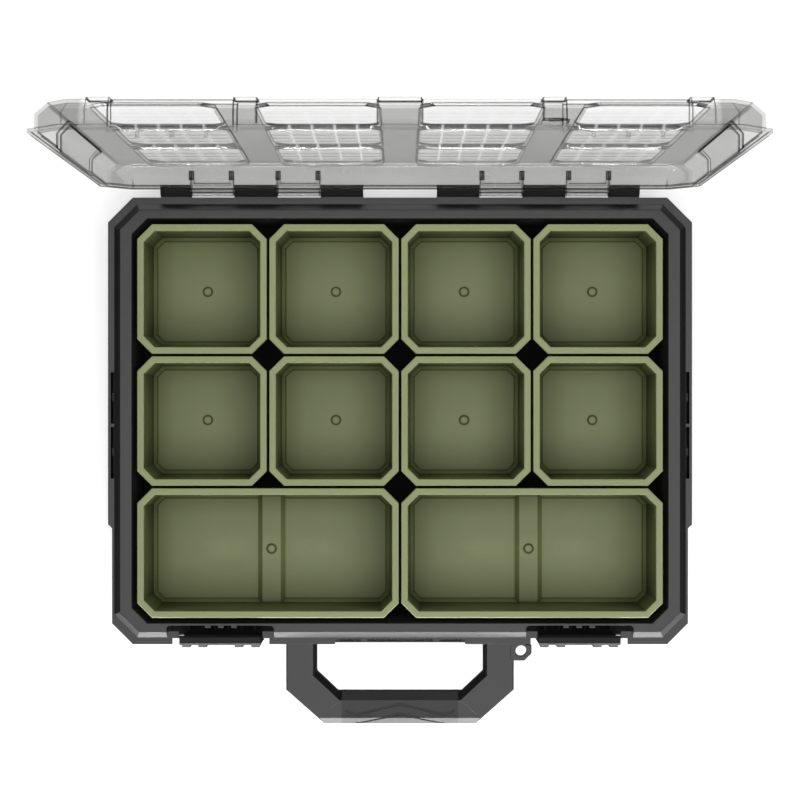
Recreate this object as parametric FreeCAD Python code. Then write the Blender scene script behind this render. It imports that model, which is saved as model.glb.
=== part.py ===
import FreeCAD, Part
import math
import os

V = FreeCAD.Vector

# Bins: square cups with a flat rim and cut corners
bin_size = 111.0
bin_gap = 2.0
bin_columns = 4
bin_rows = 3
bin_depth = 55.0
bin_floor = 2.0
bin_wall = 1.8
bin_rim = 5.8
bin_rim_plate = 2.0
bin_rim_skirt = 5.0
bin_corner = 12.7
bin_draft = 2.4
bin_floor_bevel = 3.2
bin_edge = 0.8
bin_pad = 0.6
bin_pad_edge = 0.4
button_radius = 3.4
button_height = 0.9
button_edge = 0.8
button_groove = 1.3
button_groove_depth = 0.8
hump_top = 16.0
hump_foot = 25.0
hump_height = 5.0

# Tub: drafted walls, a raised rim, a sloping shoulder and a lower flange
bin_clearance = 4.5
bin_proud = 3.0
tub_corner = 13.0
tub_draft = 4.0
tub_wall = 3.0
tub_floor = 4.0
socket_depth = 1.5
socket_length = 70.0
socket_width = 12.0
socket_inset = 24.0
rim_side = 11.2
rim_end = 8.3
rim_plate = 3.0
rim_skin = 1.0
rim_corner = 17.0
rim_edge = 0.8
rim_rise = 6.0
shoulder_run = 5.0
flange_side = 5.5
flange_end = 5.8
flange_plate = 3.5
flange_corner = 21.4
flange_step = 3.5
flange_step_front = 89.0
gusset_pitch = 38.0
gusset_plate = 2.0
gusset_height = 18.0
gusset_set_back = 4.0

# Side rails: two slots each, with a small window through the outer wall
slot_length = 44.4
slot_width = 2.9
slot_bridge = 2.9
slot_lip = 2.3
slot_depth = 18.0
slot_floor = 2.5
slot_front = 3.8
rail_end = 4.0
rail_wall = 2.5
window_length = 7.5
window_height = 8.0

# Hinges: three tub knuckles and two lid knuckles on each steel pin
hinge_reach = 6.0
hinge_start = 31.7
knuckle_pitch = 37.0
last_knuckle = 26.0
knuckle_radius = 5.0
knuckle_gap = 0.4
hinge_pin_radius = 2.0
pin_grip = 0.02
pin_play = 0.06
hinge_bracket_drop = 20.0

# Lid: lip, upright wall, bevel and a top with sunken panels
lid_open = 90.6
lid_gap = 0.3
lid_plate = 2.5
lid_lip_plate = 3.0
lid_lip_over = 2.6
lid_lip_back = 0.1
lid_wall_inset = 2.0
lid_wall_height = 13.5
lid_height = 21.8
lid_bevel_run = 8.5
panel_width = 84.0
panel_length = 108.0
panel_corner = 9.0
panel_drop = 2.5
panel_slope = 1.5
panel_edge = 1.2
band_proud = 1.2
band_width = 16.0
middle_band = 30.0
lid_flank_proud = 1.6
lid_flank_length = 158.0
lid_flank_back = 9.0
lid_gusset_plate = 2.5
lid_gusset_height = 12.0

# Latches: flip plates on pins low in the front recesses
latch_beside_lug = 6.2
latch_width = 69.6
latch_plate = 3.5
latch_hook_reach = 4.4
latch_hook_plate = 4.0
latch_hook_cam = 1.5
latch_gap = 0.3
latch_close = 5.0
latch_edge = 1.7
latch_pin_radius = 1.5
latch_knuckle = 4.5
latch_pivot_height = 16.0
latch_rib_width = 7.0
latch_rib_proud = 2.7
latch_rib_length = 30.0
latch_rib_inner = 15.6
latch_rib_outer = 29.8
latch_rib_top = 5.0
recess_beside_pocket = 4.2
recess_wall = 2.4
recess_corner = 2.0
recess_floor = 2.0
recess_floor_rise = 2.0
recess_floor_gap = 2.1
corner_plate_gap = 1.0
corner_plate_back = 11.1
corner_plate_front = 5.1
cheek_plate = 3.0
cheek_set_back = 1.0
cheek_set_down = 1.0
pocket_beside_latch = 7.0
pocket_depth = 11.0
ledge_clearance = 0.4
tab_count = 3
tab_pitch = 23.4
tab_plate = 2.5
tab_length = 4.0
recess_rib_count = 6
recess_rib_plate = 1.8
recess_rib_reach = 5.5
recess_rib_height = 38.0
recess_rib_pitch = 11.3
recess_hook_count = 3
recess_hook_width = 5.0
recess_hook_reach = 3.0
recess_hook_height = 5.0

# Handle: an open frame with a soft grip on its bar
handle_width = 196.6
handle_leg = 26.4
handle_reach = 69.2
handle_height = 28.0
handle_set_down = 1.0
handle_corner_x = 32.9
handle_corner_y = 29.1
opening_corner_x = 18.3
opening_corner_y = 17.2
bar_depth = 27.3
leg_edge = 1.2
corner_edge = 1.6
front_edge = 5.7
bar_step = 0.4
leg_slope = 3.0
corner_slope = 3.8
bar_slope = 6.8
outer_edge_height = 6.0
inner_edge_height = 9.0
grip_width = 100.0
grip_thickness = 4.0
chevron_groove = 1.0
chevron_band = 3.0
chevron_rise = 9.0
chevron_half = 38.0
chevron_end = 9.0
chevron_end_slope = 0.38
chevron_set_back = 1.0
chevron_pitch = 8.2
root_width = 202.8
root_plate = 8.0

# Label place between the handle's roots
label_width = 112.0
label_wall = 3.0
label_slope = 2.9
label_height = 19.0
label_set_down = 1.0
label_shelf = 3.0
label_shelf_reach = 2.4
window_plate = 1.2
window_play = 0.3
clip_offset = 31.0
clip_width = 6.0
clip_reach = 2.0

# Padlock lugs
padlock_beside_handle = 5.9
padlock_out = 5.8
padlock_radius = 4.75
lug_half = 9.0
lug_front = 8.3
lug_cut = 6.2
tub_lug_plate = 8.0
lid_lug_plate = 5.6

# Places worked out from the sizes above
pitch = bin_size + bin_gap
bin_height = bin_floor + bin_depth
tub_x = (bin_columns * pitch - bin_gap) / 2 + bin_clearance
tub_y = (bin_rows * pitch - bin_gap) / 2 + bin_clearance
rim_x = tub_x + rim_side
rim_y = tub_y + rim_end
shoulder_x = rim_x + shoulder_run
shoulder_y = rim_y + shoulder_run
flange_x = shoulder_x + flange_side
flange_y = shoulder_y + flange_end
floor_z = tub_floor
rim_z = floor_z + bin_height - bin_proud
flange_z = rim_z - rim_rise
under_z = flange_z - flange_plate
hinge_y = flange_y + hinge_reach
hinge_z = flange_z
lid_z = flange_z + lid_gap
lid_top = lid_z + lid_height
lid_wall_x = flange_x - lid_wall_inset
lid_wall_y = flange_y - lid_wall_inset
pocket_y = lid_wall_y - pocket_depth
pocket_width = latch_width + 2 * pocket_beside_latch
recess_width = pocket_width + 2 * recess_beside_pocket
latch_back = flange_y - latch_plate
ledge_y = latch_back - latch_hook_reach - ledge_clearance
latch_pivot_y = latch_back
close_turn = math.radians(latch_close)
hook_rise = lid_z + lid_lip_plate + latch_gap - latch_pivot_height + latch_hook_reach * math.sin(close_turn)
hook_z = latch_pivot_height + hook_rise / math.cos(close_turn)
handle_top = flange_z - handle_set_down
handle_bottom = handle_top - handle_height
handle_front = flange_y + handle_reach
padlock_x = handle_width / 2 + padlock_beside_handle
padlock_y = flange_y + padlock_out
latch_offset = padlock_x + lug_half + latch_beside_lug + latch_width / 2
corner_share = 2 - math.sqrt(2)
bend_share = math.tan(math.radians(22.5))
past = 1.0


def box(x0, x1, y0, y1, z0, z1):
    """Upright block between two corners."""
    return Part.makeBox(x1 - x0, y1 - y0, z1 - z0, V(x0, y0, z0))


def ring(x_half, y_front, y_back, corner, z):
    """Level outline: a rectangle with its four corners cut at 45 degrees."""
    points = [
        V(corner - x_half, y_front, z),
        V(x_half - corner, y_front, z),
        V(x_half, y_front + corner, z),
        V(x_half, y_back - corner, z),
        V(x_half - corner, y_back, z),
        V(corner - x_half, y_back, z),
        V(-x_half, y_back - corner, z),
        V(-x_half, y_front + corner, z),
    ]
    return Part.makePolygon(points + points[:1])


def even_ring(x_half, y_half, corner, z):
    """Outline that is alike at the front and the back."""
    return ring(x_half, -y_half, y_half, corner, z)


def stack(rings):
    """Solid with flat faces from each outline to the next."""
    return Part.makeLoft(rings, True, True)


def plate_along_x(points, x0, x1):
    """Flat section given as (y, z) points, run from x0 to x1."""
    corners = [V(x0, y, z) for y, z in points]
    return Part.Face(Part.makePolygon(corners + corners[:1])).extrude(V(x1 - x0, 0, 0))


def plate_along_y(points, y0, y1):
    """Flat section given as (x, z) points, run from y0 to y1."""
    corners = [V(x, y0, z) for x, z in points]
    return Part.Face(Part.makePolygon(corners + corners[:1])).extrude(V(0, y1 - y0, 0))


def plate_along_z(points, z0, z1):
    """Flat outline given as (x, y) points, run from z0 to z1."""
    corners = [V(x, y, z0) for x, y in points]
    return Part.Face(Part.makePolygon(corners + corners[:1])).extrude(V(0, 0, z1 - z0))


def rod(radius, x0, x1, y, z):
    """Round bar along X."""
    return Part.makeCylinder(radius, x1 - x0, V(x0, y, z), V(1, 0, 0))


def other_side(shape):
    """Mirror image across the middle plane."""
    return shape.mirror(V(0, 0, 0), V(1, 0, 0))


def both_sides(shapes):
    """The shapes and their mirror images."""
    return shapes + [other_side(shape) for shape in shapes]


def spread(count, step):
    """Even row of places about zero."""
    return [(i - (count - 1) / 2) * step for i in range(count)]


def level_edges(shape, z):
    """Edges that lie in the level plane at z."""
    return [edge for edge in shape.Edges if all(abs(v.Z - z) < 1e-6 for v in edge.Vertexes)]


def moved_lines(points, distances):
    """Closed outline with each side moved inwards by its own distance."""
    count = len(points)
    lines = []
    for i in range(count):
        (ax, ay), (bx, by) = points[i], points[(i + 1) % count]
        length = math.hypot(bx - ax, by - ay)
        nx, ny = (ay - by) / length, (bx - ax) / length
        lines.append((nx, ny, nx * ax + ny * ay + distances[i]))
    moved = []
    for i in range(count):
        (a, b, c), (d, e, f) = lines[i - 1], lines[i]
        cross = a * e - b * d
        moved.append(((c * e - b * f) / cross, (a * f - c * d) / cross))
    return moved


def level_outline(points, z):
    """Closed level wire through (x, y) points."""
    corners = [V(x, y, z) for x, y in points]
    return Part.makePolygon(corners + corners[:1])


def make_bin(x_half, y_half, humped):
    """One lift-out bin, standing on z = 0 about the origin."""

    def wall_ring(inset, z):
        return even_ring(x_half - inset, y_half - inset, bin_corner - corner_share * inset, z)

    skirt_z = bin_height - bin_rim_skirt
    outside = stack(
        [wall_ring(bin_rim + bin_draft - bin_wall, 0), wall_ring(bin_rim - bin_wall, bin_height)]
    )
    rim = stack([wall_ring(0, skirt_z), wall_ring(0, bin_height)])
    under_rim = stack(
        [wall_ring(bin_wall, skirt_z), wall_ring(bin_wall, bin_height - bin_rim_plate)]
    )
    inside = stack(
        [
            wall_ring(bin_rim + bin_draft + bin_floor_bevel, bin_floor),
            wall_ring(bin_rim + bin_draft, bin_floor + bin_floor_bevel),
            wall_ring(bin_rim, bin_height),
        ]
    )
    shape = outside.fuse(rim.cut(under_rim)).cut(inside).removeSplitter()
    shape = shape.makeFillet(bin_edge, level_edges(shape, bin_height))
    pad_inset = bin_rim + bin_draft + bin_floor_bevel
    pad = stack(
        [
            wall_ring(pad_inset, bin_floor - bin_pad),
            wall_ring(pad_inset, bin_floor + bin_pad - bin_pad_edge),
            wall_ring(pad_inset + bin_pad_edge, bin_floor + bin_pad),
        ]
    )
    shape = shape.fuse(pad)
    seat_z = bin_floor + bin_pad
    if humped:
        seat_z = bin_floor + hump_height
        groove_foot = hump_foot / 2 - bin_floor
        groove_top = hump_top / 2 - bin_floor / 2
        hump = [
            (-hump_foot / 2, bin_floor),
            (hump_foot / 2, bin_floor),
            (hump_top / 2, seat_z),
            (-hump_top / 2, seat_z),
        ]
        hollow = [
            (-groove_foot, 0),
            (groove_foot, 0),
            (groove_top, hump_height - button_groove_depth),
            (-groove_top, hump_height - button_groove_depth),
        ]
        shape = shape.fuse(plate_along_y(hump, -y_half, y_half).common(inside))
        shape = shape.cut(plate_along_y(hollow, -y_half, y_half)).removeSplitter()
    foot = seat_z - button_groove_depth
    groove = Part.makeCylinder(button_radius + button_groove, button_groove_depth, V(0, 0, foot))
    button = Part.makeCylinder(button_radius, button_groove_depth + button_height, V(0, 0, foot))
    button = button.makeFillet(button_edge, level_edges(button, seat_z + button_height))
    return shape.cut(groove).fuse(button).removeSplitter()


def bin_places():
    """Name, width in columns and middle of each bin."""
    columns = spread(bin_columns, pitch)
    front_y, middle_y, back_y = spread(bin_rows, pitch)
    places = []
    for row_name, y in (("back", back_y), ("middle", middle_y)):
        for column, x in enumerate(columns):
            places.append((f"bin_{row_name}_{column + 1}", 1, x, y))
    for side, x in zip(("left", "right"), spread(2, bin_columns * pitch / 2)):
        places.append((f"bin_front_{side}", bin_columns / 2, x, front_y))
    return places


def latch_recess():
    """Room behind the right latch, cut through the rim and the flange."""
    x0, x1 = latch_offset - recess_width / 2, latch_offset + recess_width / 2
    front, back = -flange_y - past, -tub_y - recess_wall
    outline = [
        (x0, front),
        (x1, front),
        (x1, back - recess_corner),
        (x1 - recess_corner, back),
        (x0 + recess_corner, back),
        (x0, back - recess_corner),
    ]
    return plate_along_z(outline, under_z - root_plate, rim_z + past)


def tub_body():
    """Wall, rim, shoulder and flange, with the hollow under the rim and the two latch recesses."""
    wall_corner = tub_corner + corner_share * tub_wall
    wall = stack(
        [
            even_ring(tub_x - tub_draft + tub_wall, tub_y - tub_draft + tub_wall, wall_corner, 0),
            even_ring(tub_x + tub_wall, tub_y + tub_wall, wall_corner, rim_z),
        ]
    )
    flange = stack([even_ring(flange_x, flange_y, flange_corner, z) for z in (under_z, flange_z)])
    shoulder = stack(
        [
            even_ring(shoulder_x, shoulder_y, rim_corner + corner_share * shoulder_run, flange_z),
            even_ring(rim_x, rim_y, rim_corner, rim_z - rim_edge / 2),
            even_ring(rim_x - rim_edge, rim_y - rim_edge, rim_corner - corner_share * rim_edge, rim_z),
        ]
    )
    hollow = stack(
        [
            even_ring(rim_x - rim_skin, rim_y - rim_skin, rim_corner - corner_share * rim_skin, z)
            for z in (under_z, rim_z - rim_plate)
        ]
    ).cut(wall)
    narrow_x = flange_x - flange_step
    step = plate_along_z(
        [
            (narrow_x, -flange_y - past),
            (flange_x + past, -flange_y - past),
            (flange_x + past, past - flange_step_front),
            (narrow_x, -flange_step_front - flange_step),
        ],
        under_z - past,
        flange_z + past,
    )
    return wall.fuse([flange, shoulder]).cut([hollow] + both_sides([step, latch_recess()]))


def tub_hollow():
    """Room for the bins."""
    return stack(
        [
            even_ring(tub_x - tub_draft, tub_y - tub_draft, tub_corner, floor_z),
            even_ring(tub_x, tub_y, tub_corner, rim_z - rim_edge),
            even_ring(tub_x + rim_edge, tub_y + rim_edge, tub_corner + corner_share * rim_edge, rim_z),
        ]
    )


def stacking_sockets():
    """Four shallow slots in the underside."""
    x = tub_x - tub_draft - socket_inset
    y = tub_y - tub_draft - socket_inset
    slots = []
    for side in (1, -1):
        front, back = sorted((side * y, side * (y - socket_width)))
        slots.append(box(x - socket_length, x, front, back, -past, socket_depth))
    return both_sides(slots)


def side_gussets():
    """Webs under the side flanges, clear of the rails."""
    reach = flange_x - flange_step - gusset_set_back
    web = [(tub_x, under_z), (reach, under_z), (tub_x, under_z - gusset_height)]
    rail_half = slot_length + slot_bridge / 2 + rail_end
    webs = []
    for side in (1, -1):
        y = side * (rail_half + gusset_pitch / 2) - slot_front
        while abs(y) < tub_y - gusset_plate:
            webs.append(plate_along_y(web, y - gusset_plate / 2, y + gusset_plate / 2))
            y += side * gusset_pitch
    return both_sides(webs)


def side_rail():
    """Right rail under the flange, and the slots and windows to cut in it."""
    half = slot_length + slot_bridge / 2
    rail_z = flange_z - slot_depth - slot_floor
    front, back = -slot_front - half - rail_end, -slot_front + half + rail_end
    slot_outer = flange_x - slot_lip
    slot_inner = slot_outer - slot_width
    rail = box(tub_x, flange_x, front, back, rail_z, under_z)
    light = box(
        tub_x + tub_wall + rail_wall,
        slot_inner - rail_wall,
        front + rail_wall,
        back - rail_wall,
        rail_z - past,
        under_z,
    )
    cuts = []
    for side in (1, -1):
        middle = side * (slot_length + slot_bridge) / 2 - slot_front
        y0, y1 = middle - slot_length / 2, middle + slot_length / 2
        cuts.append(box(slot_inner, slot_outer, y0, y1, flange_z - slot_depth, flange_z + past))
        y0, y1 = middle - window_length / 2, middle + window_length / 2
        sill = flange_z - slot_depth
        cuts.append(box(slot_inner, flange_x + past, y0, y1, sill, sill + window_height))
    return rail.cut(light), cuts


def knuckle_spans():
    """Ends in X of the tub's three and the lid's two knuckles on the right hinge."""
    starts = [hinge_start + i * knuckle_pitch for i in range(5)]
    ends = [start + knuckle_pitch - knuckle_gap for start in starts]
    ends[-1] = starts[-1] + last_knuckle
    spans = list(zip(starts, ends))
    return spans[0::2], spans[1::2]


def tub_knuckles():
    """The right hinge's tub knuckles with their brackets."""
    tub_spans, _ = knuckle_spans()
    bracket = [
        (tub_y, hinge_z),
        (hinge_y, hinge_z),
        (hinge_y, hinge_z - knuckle_radius),
        (tub_y, hinge_z - knuckle_radius - hinge_bracket_drop),
    ]
    shapes = []
    for x0, x1 in tub_spans:
        shapes.append(plate_along_x(bracket, x0, x1))
        shapes.append(rod(knuckle_radius, x0, x1, hinge_y, hinge_z))
    return shapes


def latch_cheeks():
    """Two plates that close the right recess's ends and carry the latch's pin."""
    front = flange_y - cheek_set_back
    bottom = latch_pivot_height - latch_knuckle
    outline = [
        (-tub_y, bottom),
        (-latch_pivot_y, bottom),
        (-front, latch_pivot_height),
        (-front, flange_z - cheek_set_down),
        (cheek_set_back - shoulder_y, flange_z - cheek_set_down),
        (cheek_set_back - rim_y, rim_z - cheek_set_down),
        (-tub_y, rim_z - cheek_set_down),
    ]
    cheeks = []
    for side in (1, -1):
        inner = latch_offset + side * recess_width / 2
        x0, x1 = sorted((inner, inner + side * cheek_plate))
        cheeks.append(plate_along_x(outline, x0, x1))
    return cheeks


def recess_floor_plates():
    """Floor of the right recess over the latch's knuckle, and corner plates that narrow its mouth."""
    half = recess_width / 2
    top = latch_pivot_height + latch_knuckle + recess_floor_rise + recess_floor
    shapes = [
        box(
            latch_offset - half,
            latch_offset + half,
            recess_floor_gap - latch_back,
            -tub_y,
            top - recess_floor,
            top,
        )
    ]
    back, middle = corner_plate_back - flange_y, corner_plate_front - flange_y
    for side in (1, -1):
        wall = latch_offset + side * half
        mouth = latch_offset + side * pocket_width / 2
        inner = latch_offset + side * (latch_width / 2 + corner_plate_gap)
        outline = [
            (wall, back),
            (inner, back),
            (inner, middle),
            (mouth, middle),
            (mouth, -flange_y),
            (wall, -flange_y),
        ]
        shapes.append(plate_along_z(outline, under_z, flange_z))
    return shapes


def recess_details():
    """Stiffening ribs and three small hooks on the right recess's back wall."""
    back = -tub_y - recess_wall
    shapes = recess_floor_plates()
    for step in spread(recess_rib_count, recess_rib_pitch):
        x = latch_offset + step
        x0, x1 = x - recess_rib_plate / 2, x + recess_rib_plate / 2
        shapes.append(box(x0, x1, back - recess_rib_reach, -tub_y, floor_z, floor_z + recess_rib_height))
    hook_top = flange_z - cheek_set_down
    for step in spread(recess_hook_count, recess_rib_pitch):
        x = latch_offset + step
        x0, x1 = x - recess_hook_width / 2, x + recess_hook_width / 2
        shapes.append(
            box(x0, x1, back - recess_hook_reach, -tub_y, flange_z - recess_hook_height, hook_top)
        )
    return shapes


def handle_solid():
    """Whole handle, bar and grip together, with sloping edges."""
    half = handle_width / 2
    root = -tub_y - past
    diagonal_y = handle_corner_y - handle_front
    outer = [
        (-half, root),
        (-half, diagonal_y),
        (handle_corner_x - half, -handle_front),
        (half - handle_corner_x, -handle_front),
        (half, diagonal_y),
        (half, root),
    ]
    gap = half - handle_leg
    bar = bar_depth - handle_front
    opening = [
        (-gap, root + past),
        (-gap, bar + opening_corner_y),
        (opening_corner_x - gap, bar),
        (gap - opening_corner_x, bar),
        (gap, bar + opening_corner_y),
        (gap, root + past),
    ]
    outer_in = moved_lines(outer, [leg_edge, corner_edge, front_edge, corner_edge, leg_edge, 0])
    opening_out = moved_lines(opening, [-leg_slope, -corner_slope, -bar_slope, -corner_slope, -leg_slope, 0])
    frame = stack(
        [
            level_outline(outer_in, handle_bottom),
            level_outline(outer, handle_bottom + outer_edge_height),
            level_outline(outer, handle_top - outer_edge_height),
            level_outline(outer_in, handle_top),
        ]
    )
    hole = stack(
        [
            level_outline(opening_out, handle_bottom),
            level_outline(opening, handle_bottom + inner_edge_height),
            level_outline(opening, handle_top - inner_edge_height),
            level_outline(opening_out, handle_top),
        ]
    )
    bar_face = [outer_in[2], outer_in[3], opening_out[3], opening_out[2]]
    return frame.cut([hole, plate_along_z(bar_face, handle_top - bar_step, handle_top + past)])


def grip_room():
    """Block that holds the whole grip."""
    return box(
        -grip_width / 2,
        grip_width / 2,
        -handle_front - past,
        bar_depth - handle_front + past,
        handle_bottom - past,
        handle_top + past,
    )


def grip_core():
    """Bar inside the grip."""
    return box(
        -grip_width / 2,
        grip_width / 2,
        front_edge + grip_thickness - handle_front,
        bar_depth - bar_slope - grip_thickness / 2 - handle_front,
        handle_bottom + grip_thickness,
        handle_top - grip_thickness,
    )


def chevron(tip_y, end):
    """Bent band across the grip, its ends turned back by end, before it is let into the surface."""
    turn_y = tip_y - chevron_rise
    end_y = turn_y + end * chevron_end_slope
    line = [
        (chevron_half + end, end_y),
        (chevron_half, turn_y),
        (0, tip_y),
        (-chevron_half, turn_y),
        (-chevron_half - end, end_y),
    ]
    if end == 0:
        line = line[1:-1]
    near = [(x, y - chevron_band) for x, y in reversed(line)]
    return plate_along_z(line + near, handle_top - outer_edge_height, handle_top + past)


def make_grip():
    """Soft sleeve, moulded round the bar, with two chevron grooves that follow its upper faces."""
    whole = handle_solid()
    lowered = whole.copy()
    lowered.translate(V(0, 0, -chevron_groove))
    first = bar_depth - bar_slope - handle_front - chevron_set_back
    bands = [chevron(first, chevron_end), chevron(first - chevron_pitch, 0)]
    return whole.common(grip_room()).cut([grip_core()] + [band.cut(lowered) for band in bands])


def label_section():
    """Points of the label wall's sloping front, top and foot, as (y, z)."""
    top = (-shoulder_y - label_wall / 2, flange_z - label_set_down)
    foot = (top[0] - label_slope, top[1] - label_height)
    return top, foot


def label_place():
    """Sloping wall, shelf and two clips that hold the label window."""
    top, foot = label_section()
    half = label_width / 2 + label_wall
    wall = [top, foot, (foot[0] + label_wall, foot[1]), (top[0] + label_wall, top[1])]
    shelf = box(
        -half,
        half,
        foot[0] - label_shelf_reach,
        -tub_y + tub_draft / 2,
        foot[1] - label_shelf,
        foot[1],
    )
    clips = []
    clip_z = top[1] - window_play
    for side in (1, -1):
        x = side * clip_offset
        x0, x1 = x - clip_width / 2, x + clip_width / 2
        clips.append(box(x0, x1, top[0] - clip_reach, top[0] + label_wall, clip_z, flange_z))
    return [plate_along_x(wall, -half, half), shelf] + clips


def make_label_window():
    """Clear strip that stands on the shelf and leans on the sloping wall."""
    top, foot = label_section()
    upper_z = top[1] - 2 * window_play
    lean = label_slope / label_height
    upper_y = top[0] - lean * (top[1] - upper_z)
    section = [
        (upper_y, upper_z),
        foot,
        (foot[0] - window_plate, foot[1]),
        (upper_y - window_plate, upper_z),
    ]
    half = label_width / 2 - label_wall
    return plate_along_x(section, -half, half)


def lug(z0, z1, root_y):
    """Padlock lug right of the handle, its hole not cut yet."""
    front = -padlock_y - lug_front
    right = padlock_x + lug_half
    outline = [
        (padlock_x - lug_half, root_y),
        (padlock_x - lug_half, front),
        (right - lug_cut, front),
        (right, front + lug_cut),
        (right, root_y),
    ]
    return plate_along_z(outline, z0, z1)


def padlock_hole():
    """Hole through both lugs of the closed case."""
    foot = flange_z - tub_lug_plate
    return Part.makeCylinder(padlock_radius, lid_z + lid_lug_plate - foot, V(padlock_x, -padlock_y, foot))


def make_tub():
    """Tub with all that is moulded on it."""
    notch = box(
        -label_width / 2,
        label_width / 2,
        -flange_y - past,
        -shoulder_y - label_wall / 2,
        flange_z - root_plate - past,
        flange_z + past,
    )
    root = box(-root_width / 2, root_width / 2, -flange_y, -tub_y, flange_z - root_plate, flange_z)
    body = tub_body().fuse(root).cut(notch)
    rail, rail_cuts = side_rail()
    extras = both_sides([rail] + tub_knuckles() + latch_cheeks() + recess_details())
    extras += side_gussets() + label_place()
    extras += [handle_solid().cut(grip_room()), grip_core()]
    extras.append(lug(flange_z - tub_lug_plate, flange_z, -tub_y).cut(latch_recess()))
    pins = [
        rod(hinge_pin_radius + pin_grip, 0, flange_x, hinge_y, hinge_z),
        rod(latch_pin_radius + pin_grip, *latch_pin_span(), -latch_pivot_y, latch_pivot_height),
    ]
    cuts = [tub_hollow(), padlock_hole()] + stacking_sockets() + both_sides(rail_cuts + pins)
    return body.fuse(extras).cut(cuts).removeSplitter()


def lid_ring(inset, z):
    """Lid outline, moved in from the upright wall's outer face."""
    corner = flange_corner - corner_share * (lid_wall_inset + inset)
    return even_ring(lid_wall_x - inset, lid_wall_y - inset, corner, z)


def lid_skin(proud):
    """Outer form of the lid's wall, bevel and top, moved out by proud."""
    return stack(
        [
            lid_ring(-proud, lid_z),
            lid_ring(-proud, lid_z + lid_wall_height),
            lid_ring(lid_bevel_run - proud, lid_top + proud),
        ]
    )


def lid_panels(grow, drop):
    """Sunken panels over the bins, one to a column and row, lowered by drop."""
    panels = []
    x_half, y_half = panel_width / 2 + grow, panel_length / 2 + grow
    levels = [(0, lid_top - drop), (panel_slope, lid_top - drop - panel_drop)]
    for y in spread(bin_rows, pitch):
        for x in spread(bin_columns, pitch):
            panel = stack(
                [even_ring(x_half - inset, y_half - inset, panel_corner, z) for inset, z in levels]
            )
            panel.translate(V(x, y, 0))
            panels.append(panel)
    return panels


def lid_bands():
    """Raised bands across the front of the lid, beside the latch pockets and in the middle."""
    proud = lid_skin(band_proud)
    side = pocket_width / 2
    spans = [(-middle_band / 2, middle_band / 2)]
    for outer in (latch_offset - side - band_width, latch_offset + side):
        spans += [(outer, outer + band_width), (-outer - band_width, -outer)]
    front = -lid_wall_y - band_proud
    back = lid_bevel_run + band_width - lid_wall_y
    return [proud.common(box(x0, x1, front, back, lid_z, lid_top + band_proud)) for x0, x1 in spans]


def lid_pockets(grow):
    """Room for the latches in the lid's front, made larger by grow."""
    half = pocket_width / 2 + grow
    pocket = box(
        latch_offset - half,
        latch_offset + half,
        -lid_wall_y - lid_wall_inset - past,
        grow - pocket_y,
        lid_z - past,
        lid_top + past,
    )
    return both_sides([pocket])


def lid_inside(proud):
    """Hollow under the lid's wall, bevel and top, moved out by proud."""
    bend = bend_share * lid_plate
    return stack(
        [
            lid_ring(lid_plate - proud, lid_z - past),
            lid_ring(lid_plate - proud, lid_z + lid_wall_height - bend),
            lid_ring(lid_bevel_run + bend - proud, lid_top - lid_plate + proud),
        ]
    )


def lid_flanks(form, shorter):
    """Middle stretch of the lid's two side walls, cut from a form that stands proud."""
    half = lid_flank_length / 2 - shorter
    room = box(
        lid_wall_x - lid_bevel_run,
        lid_wall_x + lid_flank_proud + past,
        lid_flank_back - half,
        lid_flank_back + half,
        lid_z - past,
        lid_top + past,
    )
    return [form.common(side) for side in both_sides([room])]


def lid_knuckles():
    """The right hinge's lid knuckles with brackets and gussets, lid closed."""
    _, lid_spans = knuckle_spans()
    wall = lid_wall_y - lid_plate / 2
    shapes = []
    for x0, x1 in lid_spans:
        bracket = [
            (wall, lid_z),
            (hinge_y, lid_z),
            (hinge_y, hinge_z + knuckle_radius),
            (wall, hinge_z + knuckle_radius),
        ]
        gusset = [
            (wall, lid_z),
            (hinge_y, hinge_z + knuckle_radius),
            (wall, lid_z + lid_gusset_height),
        ]
        shapes.append(plate_along_x(bracket, x0, x1))
        shapes.append(rod(knuckle_radius, x0, x1, hinge_y, hinge_z))
        shapes.append(plate_along_x(gusset, x0, x0 + lid_gusset_plate))
        shapes.append(plate_along_x(gusset, x1 - lid_gusset_plate, x1))
    return shapes


def lid_tabs():
    """Three small tabs under each latch ledge that drop into the tub's recess."""
    tabs = []
    y = -pocket_y
    for step in spread(tab_count, tab_pitch):
        x = latch_offset + step
        tabs.append(
            box(x - tab_plate / 2, x + tab_plate / 2, y - tab_length, y, lid_z - tab_length, lid_z + past)
        )
    return both_sides(tabs)


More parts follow.
